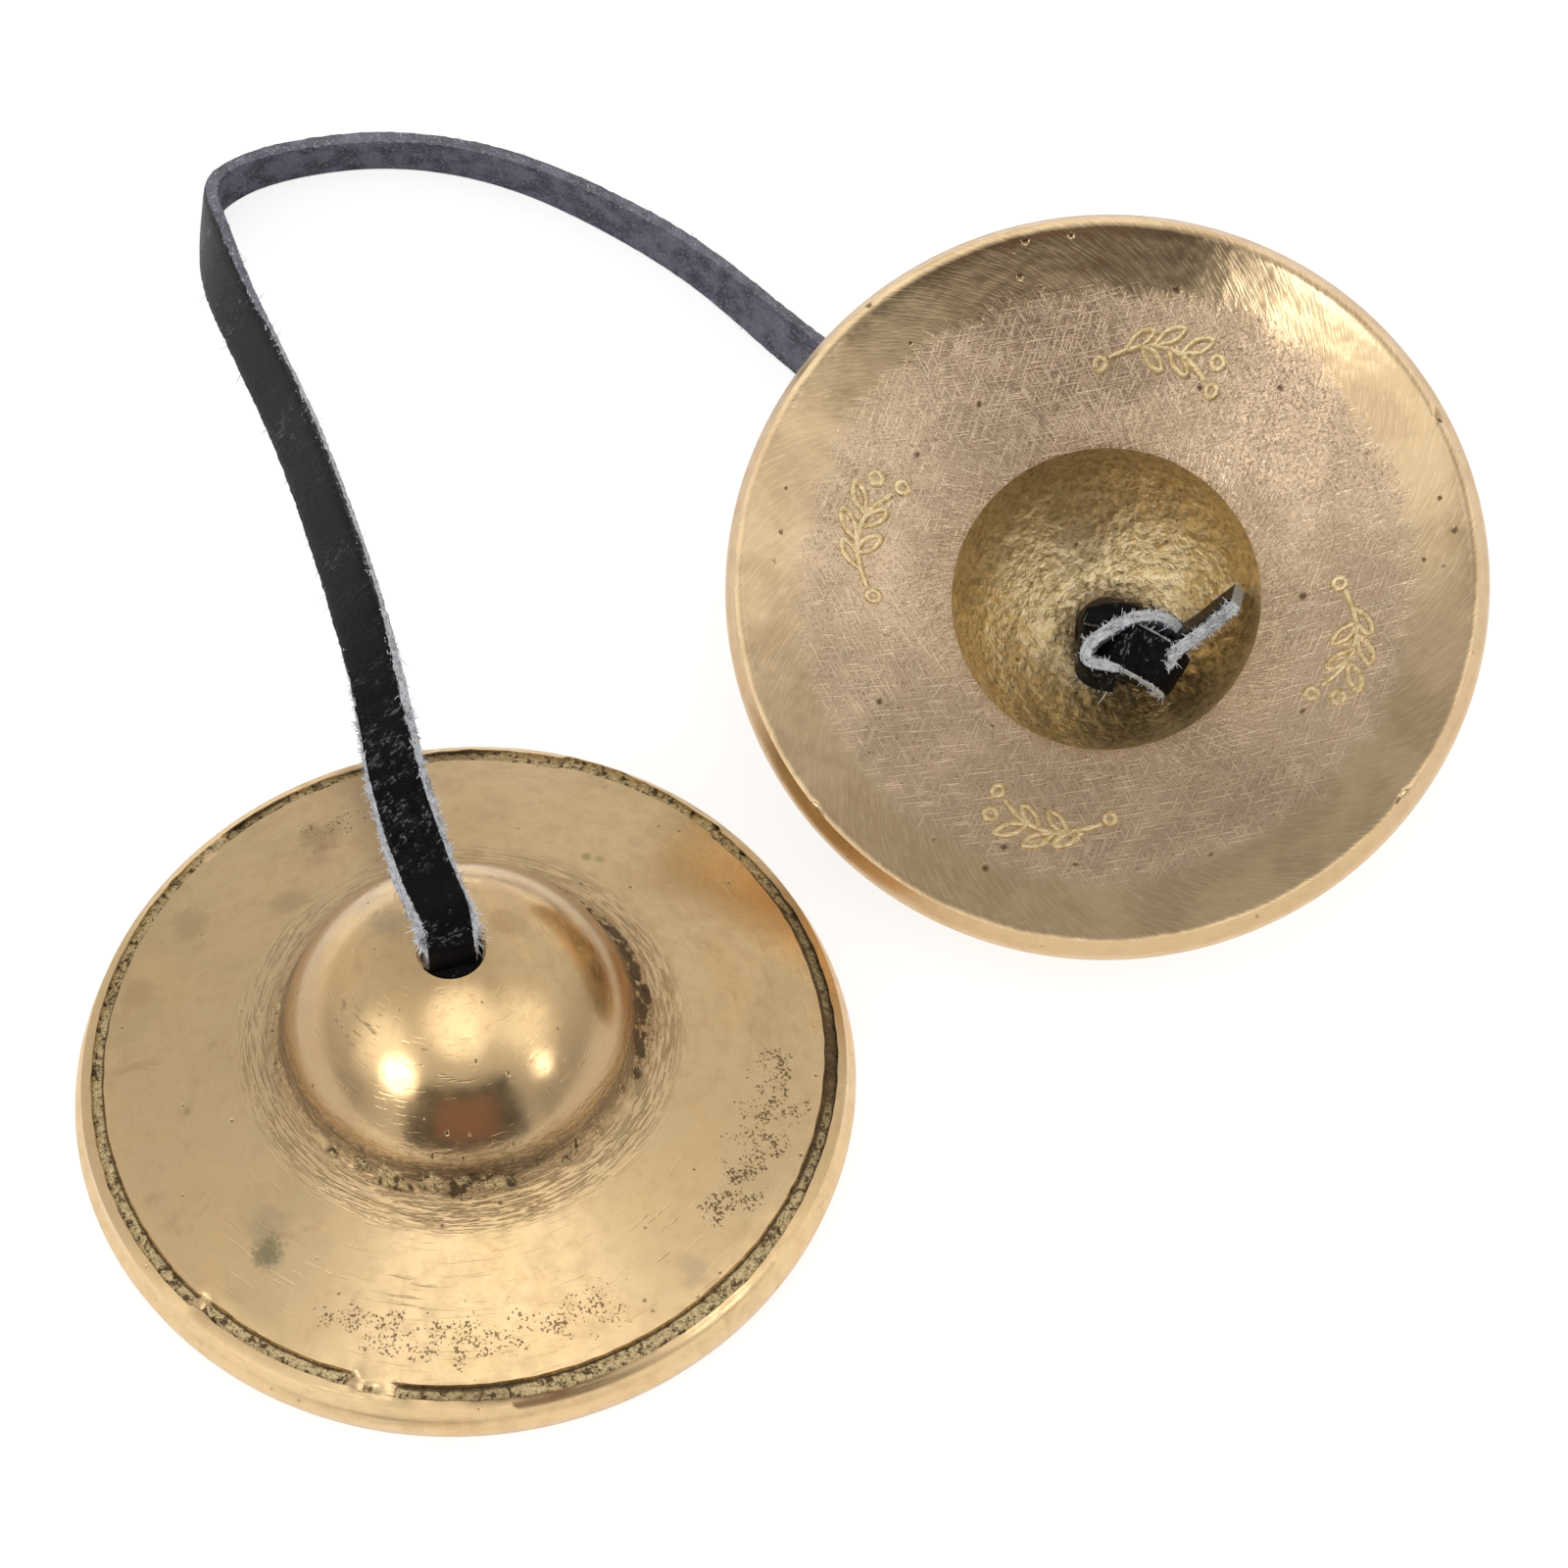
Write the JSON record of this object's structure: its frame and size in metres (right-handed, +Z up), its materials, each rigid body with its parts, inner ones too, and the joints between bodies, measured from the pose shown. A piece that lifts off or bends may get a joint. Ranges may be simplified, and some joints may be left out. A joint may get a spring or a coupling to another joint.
{
  "type": "tingsha",
  "caption": "Pair of small cast hand cymbals with domed crowns, joined by a flat leather strap knotted inside each crown.",
  "frame": {"origin": "on the floor under the middle of the box round the two cymbals", "axes": "+Z up, +X from the left cymbal towards the right one along the pair's longest extent, +Y away from the viewer, towards the strap's loop"},
  "size_m": [0.1184, 0.1361, 0.0354],
  "materials": {
    "bell_metal": "cast, turned and polished, with light tarnish",
    "strap_leather": "semi-gloss black grain, grey-violet suede back and fuzzy cut edges"
  },
  "bodies": {
    "left_cymbal": {"cymbal_left": "bell_metal"},
    "left_knot": {"knot_left": "strap_leather"},
    "strap": {"strap": "strap_leather"},
    "right_knot": {"knot_right": "strap_leather"},
    "right_cymbal": {"cymbal_right": "bell_metal"}
  },
  "joints": [
    {"name": "left_spin", "type": "hinge", "parent": "left_cymbal", "child": "left_knot", "pos_m": [-0.02672, -0.01803, 0], "axis": [0, 0, 1], "continuous": true},
    {"name": "left_swing", "type": "hinge", "parent": "left_knot", "child": "strap", "pos_m": [-0.02672, -0.01803, 0.02392], "axis": [0.9781, 0.2079, 0], "range_deg": [-12, 105]},
    {"name": "right_swing", "type": "hinge", "parent": "strap", "child": "right_knot", "pos_m": [0.02872, 0.02853, 0.00092], "axis": [0.9751, -0.2215, 0], "range_deg": [-15, 135]},
    {"name": "right_spin", "type": "hinge", "parent": "right_knot", "child": "right_cymbal", "pos_m": [0.02659, 0.01916, 0.02283], "axis": [0.0891, 0.392, -0.9157], "continuous": true}
  ]
}
